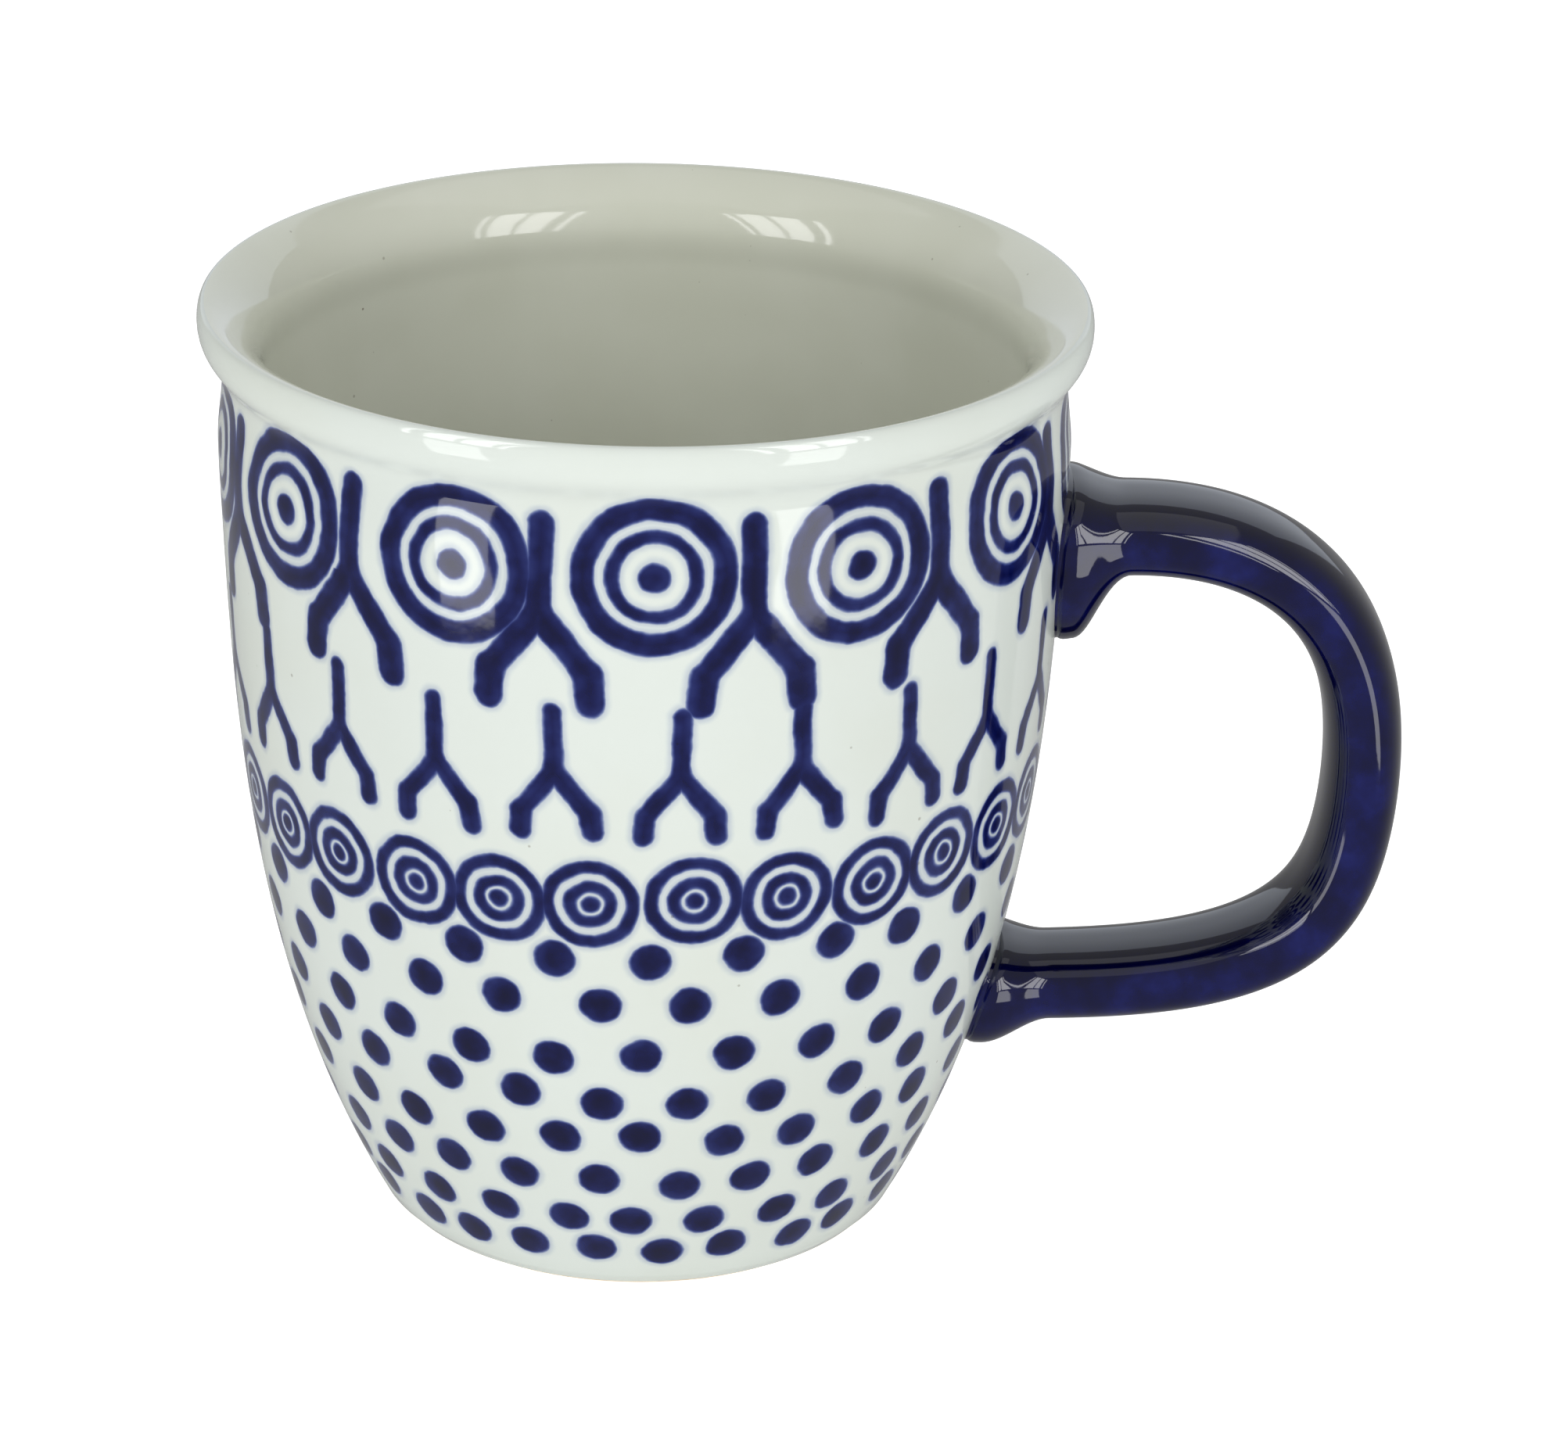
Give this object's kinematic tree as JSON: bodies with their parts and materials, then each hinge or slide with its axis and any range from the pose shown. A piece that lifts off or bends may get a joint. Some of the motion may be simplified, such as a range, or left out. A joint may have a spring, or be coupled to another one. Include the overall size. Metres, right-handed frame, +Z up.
{
  "type": "stoneware mug",
  "caption": "Stoneware mug with a flared lip, a narrow foot ring and a loop handle, glazed inside and out, for hot drinks.",
  "frame": {"origin": "where the mug's axis meets the table, at the centre of the foot ring", "axes": "+Z up along the mug's axis, +X from the axis towards the handle, +Y to the left of the handle seen from above"},
  "size_m": [0.1221, 0.089, 0.0972],
  "materials": {
    "bare_stoneware": "unglazed, matte",
    "liner_glaze": "gloss",
    "decorated_glaze": "gloss, stamped blue pattern",
    "cobalt_glaze": "gloss"
  },
  "bodies": {
    "root": {"clay_body": "bare_stoneware", "clay_handle": "bare_stoneware", "upper_slip_joint": "bare_stoneware", "lower_slip_joint": "bare_stoneware", "liner_glaze": "liner_glaze", "outer_glaze": "decorated_glaze", "underside_glaze": "liner_glaze", "handle_glaze": "cobalt_glaze"}
  },
  "joints": []
}
